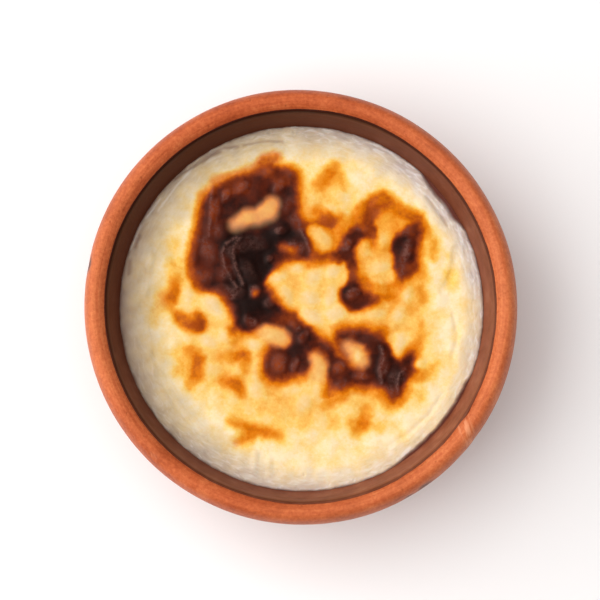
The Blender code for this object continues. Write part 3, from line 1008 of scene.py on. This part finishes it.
def make_pudding():
    """The set block with its skin lifted over the grains, and what its colours follow."""
    pudding = set_block()
    x, y, z = read_points(pudding)
    top = z > SKIN_TOP - 0.01
    grains = grain_lift(x, y)
    film = film_share(x, y)
    brown = browning(x, y)
    gap = edge_gap(x, y)
    z = np.where(top, SKIN_TOP + skin_height(x, y, grains, film, brown, gap), z)
    # Painted shade: the film is painted darker on the left, where the wall shades it
    body = by_angle(x, y, FILM_LIGHT)
    golden = fade(-np.hypot(x, y), -40, -26)
    x, y, z = out_of_round(x, y, z)
    write_points(pudding, x, y, z)

    # Browning is a little deeper between the grains, and the film ends where it begins
    dark = fade(brown, 0.5, 0.75)
    film = film * (1 - fade(brown, 0.22, 0.5))
    valley = (0.5 - grains) * (0.06 + 0.04 * golden + 0.05 * dark)
    mark(pudding, "browning", brown + valley * (1 - film))
    mark(pudding, "film", film)
    mark(pudding, "body", body)

    # Painted highlights: a mauve sheen is painted on the scorch's grains and along its folds
    broken = np.clip(0.75 + 0.8 * noise(x / 2.0, y / 3.4, 44), 0, 1.2)
    painted_sheen = 0.7 * dark * fade(grains, 0.1, 0.8) * broken * (1 - 0.5 * fade(brown, 0.9, 1.0))
    for fold in SCORCHED_FOLDS:
        stroke = [(a - 0.2, b, 0.25, 1) for a, b, _, _ in fold]
        painted_sheen = np.maximum(painted_sheen, brush(x, y, stroke, 1.3)[0])
    mark(pudding, "painted_sheen", painted_sheen)

    # Painted shade: the creases are darkened like the edge, and fibres of the film are white,
    # painted fainter on the shaded left
    for crease in FILM_CREASES:
        gap = np.maximum(gap, 0.4 * brush(x, y, crease, 0.9)[0])
    mark(pudding, "gap", gap)
    fibre = np.zeros_like(x)
    for points in FIBRES:
        stroke = [(a, b, 0.2, 1) for a, b in points]
        fibre = np.maximum(fibre, brush(x + 0.2 * noise(x, y, 45), y, stroke, 0.8)[0])
    mark(pudding, "fibre", fibre * (0.4 + 0.6 * body))

    # Grains near the middle, and the ones that stay pale in the scorch, are peach
    peach = (0.25 + 0.5 * fade(grains, 0.25, 0.8)) * golden * fade(-brown, -0.30, -0.18)
    pattern_x = PATTERN_SCALE * x
    pattern_y = PATTERN_SCALE * y + PATTERN_RISE
    for grain in PALE[:PEACH_GRAINS]:
        peach = np.maximum(peach, 0.8 * brush(pattern_x, pattern_y, grain, 3.4)[0])
    mark(pudding, "peach", peach)
    return pudding


def baked_milk_skin():
    """Set milk with a browned skin: soft, slightly glowing, moist on top."""
    milk, shader = new_material("baked_milk_skin")
    place = node(milk, "TexCoord", "Object")
    spread = {
        name: node(milk, "Attribute", "Fac", {"attribute_name": name})
        for name in ("browning", "film", "gap", "painted_sheen", "peach", "body", "fibre")
    }
    film = spread["film"]

    # From milk over gold and amber to black, with the fine speckle of dried milk
    grain = node(
        milk, "TexNoise", "Fac", Vector=place, Scale=1 / (1.1 * MM), Detail=4.0, Roughness=0.65
    )
    speckle = node(milk, "MapRange", 0, _0=grain, _1=0.25, _2=0.75, _3=-0.05, _4=0.05)
    brown = node(milk, "Math", 0, ADD, _0=spread["browning"], _1=speckle)
    stops = [
        (0.0, "ecd8b2"), (0.08, "ebcd90"), (0.16, "eabe60"), (0.25, "e39c32"),
        (0.38, "d27200"), (0.50, "a44808"), (0.62, "7c300c"), (0.75, "521a08"),
        (0.88, "2e0d06"), (1.0, "130402"),
    ]
    colour = node(milk, "ValToRGB", "Color", stops=stops, _0=brown)

    # Fibres of the film: a few millimetres long round the wall, one millimetre across
    flat = node(milk, "VectorMath", 0, MULTIPLY, _0=place, _1=(1, 1, 0))
    radius = node(milk, "VectorMath", "Value", LENGTH, _0=flat)
    outward = node(milk, "VectorMath", 0, {"operation": "NORMALIZE"}, _0=flat)
    around = node(milk, "VectorMath", 0, SCALE, _0=outward, Scale=16.0)
    around = node(milk, "SeparateXYZ", Vector=around)
    depth = node(milk, "Math", 0, MULTIPLY, _0=radius, _1=1 / (1.0 * MM))
    polar = node(milk, "CombineXYZ", 0, X=around["X"], Y=around["Y"], Z=depth)
    fibres = node(
        milk, "TexNoise", "Fac",
        Vector=polar, Scale=1.0, Detail=2.0, Roughness=0.55, Distortion=0.7,
    )
    # The film's body is painted light: low on the left, where the wall shades it, so the film is
    # darker and its fibres fainter there
    body = spread["body"]
    thin, white, dull, broken = (
        node(milk, "ValToRGB", "Color", stops=stops, _0=source)
        for source, stops in (
            (body, [(0, "826c60"), (0.35, "9d8b79"), (0.7, "bdaca3"), (1, "d6c3a8")]),
            (fibres, [(0.44, "000000"), (0.56, "a0a0a0"), (0.66, "ffffff")]),
            (fibres, [(0.28, "ffffff"), (0.4, "505050"), (0.5, "000000")]),
            (grain, [(0.38, "505050"), (0.58, "ffffff")]),
        )
    )

    # Each look covers the ones before it, as much as its factors say together
    for factors, coat in (
        ((spread["peach"], 0.55), linear("d8ae7c")),
        ((film,), thin),
        ((film, white, body, 0.6), linear("eeebe8")),
        ((film, dull, 0.30), linear("8a766a")),
        ((spread["fibre"], 0.45), linear("f2efec")),
        # painted highlight: the mauve sheen on the scorch
        ((spread["painted_sheen"], broken, 0.55), linear("865a50")),
        # the clay seen through at the edge, darkened as painted shade, and painted shade along
        # the creases
        ((spread["gap"],), linear("683a30")),
    ):
        share = factors[0]
        for factor in factors[1:]:
            share = node(milk, "Math", 0, MULTIPLY, _0=share, _1=factor)
        colour = node(milk, "Mix", 2, COVER, _0=share, _6=colour, _7=coat)
    ridges = node(milk, "Math", 0, MULTIPLY, _0=fibres, _1=film)
    relief = node(milk, "Bump", 0, Strength=0.5, Distance=0.10 * MM, Height=ridges)
    fine = node(
        milk, "Bump", 0, Strength=0.45, Distance=0.07 * MM, Height=grain, Normal=relief
    )
    shine = node(milk, "MapRange", 0, _0=film, _1=0.0, _2=1.0, _3=0.40, _4=0.24)
    plug(milk, shader, {
        "Base Color": colour,
        "Roughness": shine,
        "Normal": fine,
        "IOR": 1.4,
        "Specular IOR Level": 0.18,
        "Specular Tint": (1.0, 0.82, 0.76, 1.0),
        "Subsurface Weight": 0.25,
        "Subsurface Radius": (1.0, 0.55, 0.3),
        "Subsurface Scale": 0.8 * MM,
    })
    return milk


pudding = make_pudding()
pudding.data.materials.append(baked_milk_skin())
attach(pudding, "root")
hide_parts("pudding")

# ---------------- floor
# A plain white table, wide enough that its edge isn't seen.

bpy.ops.object.select_all(action="DESELECT")
bpy.ops.mesh.primitive_plane_add(size=6.0)
table = bpy.context.object
table.name = "table"
paint, paint_shader = new_material("matt_white_table")
plug(paint, paint_shader, {"Base Color": linear("f4f1f0"), "Roughness": 0.7})
table.data.materials.append(paint)

# ---------------- lights
# A very large soft window on the left, a weaker soft sheet of light overhead
# and a little light from the room, so that every shadow has a wide soft edge.

LAMP_DISTANCE = 1.2


def soft_light(name, azimuth, elevation, size, watts):
    """A large square lamp, facing the bowl."""
    lamp = bpy.data.lights.new(name, "AREA")
    lamp.shape = "SQUARE"
    lamp.size = size
    lamp.energy = watts
    light = bpy.data.objects.new(name, lamp)
    around = math.radians(azimuth)
    up = math.radians(elevation)
    level = LAMP_DISTANCE * math.cos(up)
    height = LAMP_DISTANCE * math.sin(up)
    light.location = (level * math.cos(around), level * math.sin(around), height)
    light.rotation_mode = "QUATERNION"
    light.rotation_quaternion = light.location.to_track_quat("Z", "Y")
    bpy.context.scene.collection.objects.link(light)
    return light


soft_light("window", 172, 46, 1.5, 16.5)
overhead = soft_light("overhead", 90, 89, 1.2, 9.5)
overhead.visible_glossy = False
world = bpy.data.worlds.new("pale_room")
bpy.context.scene.world = world
world.use_nodes = True
room = world.node_tree.nodes["Background"]
room.inputs["Color"].default_value = (1, 1, 1, 1)
room.inputs["Strength"].default_value = 0.2

# ---------------- camera
# Almost straight down, from a little in front of the bowl and to its right.

LENS = 100.0
SENSOR = 24.0
CAMERA_DISTANCE = 0.685
TILT_BACK = math.radians(5.0)
TILT_RIGHT = math.radians(1.9)
AIM = (0.0001, 0.0012, BOWL_HEIGHT * MM)

lens = bpy.data.cameras.new("camera")
lens.lens = LENS
lens.sensor_width = SENSOR
camera = bpy.data.objects.new("camera", lens)
camera.rotation_mode = "XYZ"
camera.rotation_euler = (TILT_BACK, TILT_RIGHT, 0)
away = camera.rotation_euler.to_matrix().col[2]
camera.location = [at + CAMERA_DISTANCE * off for at, off in zip(AIM, away)]
bpy.context.scene.collection.objects.link(camera)
bpy.context.scene.camera = camera
bpy.context.scene.view_settings.view_transform = "Standard"
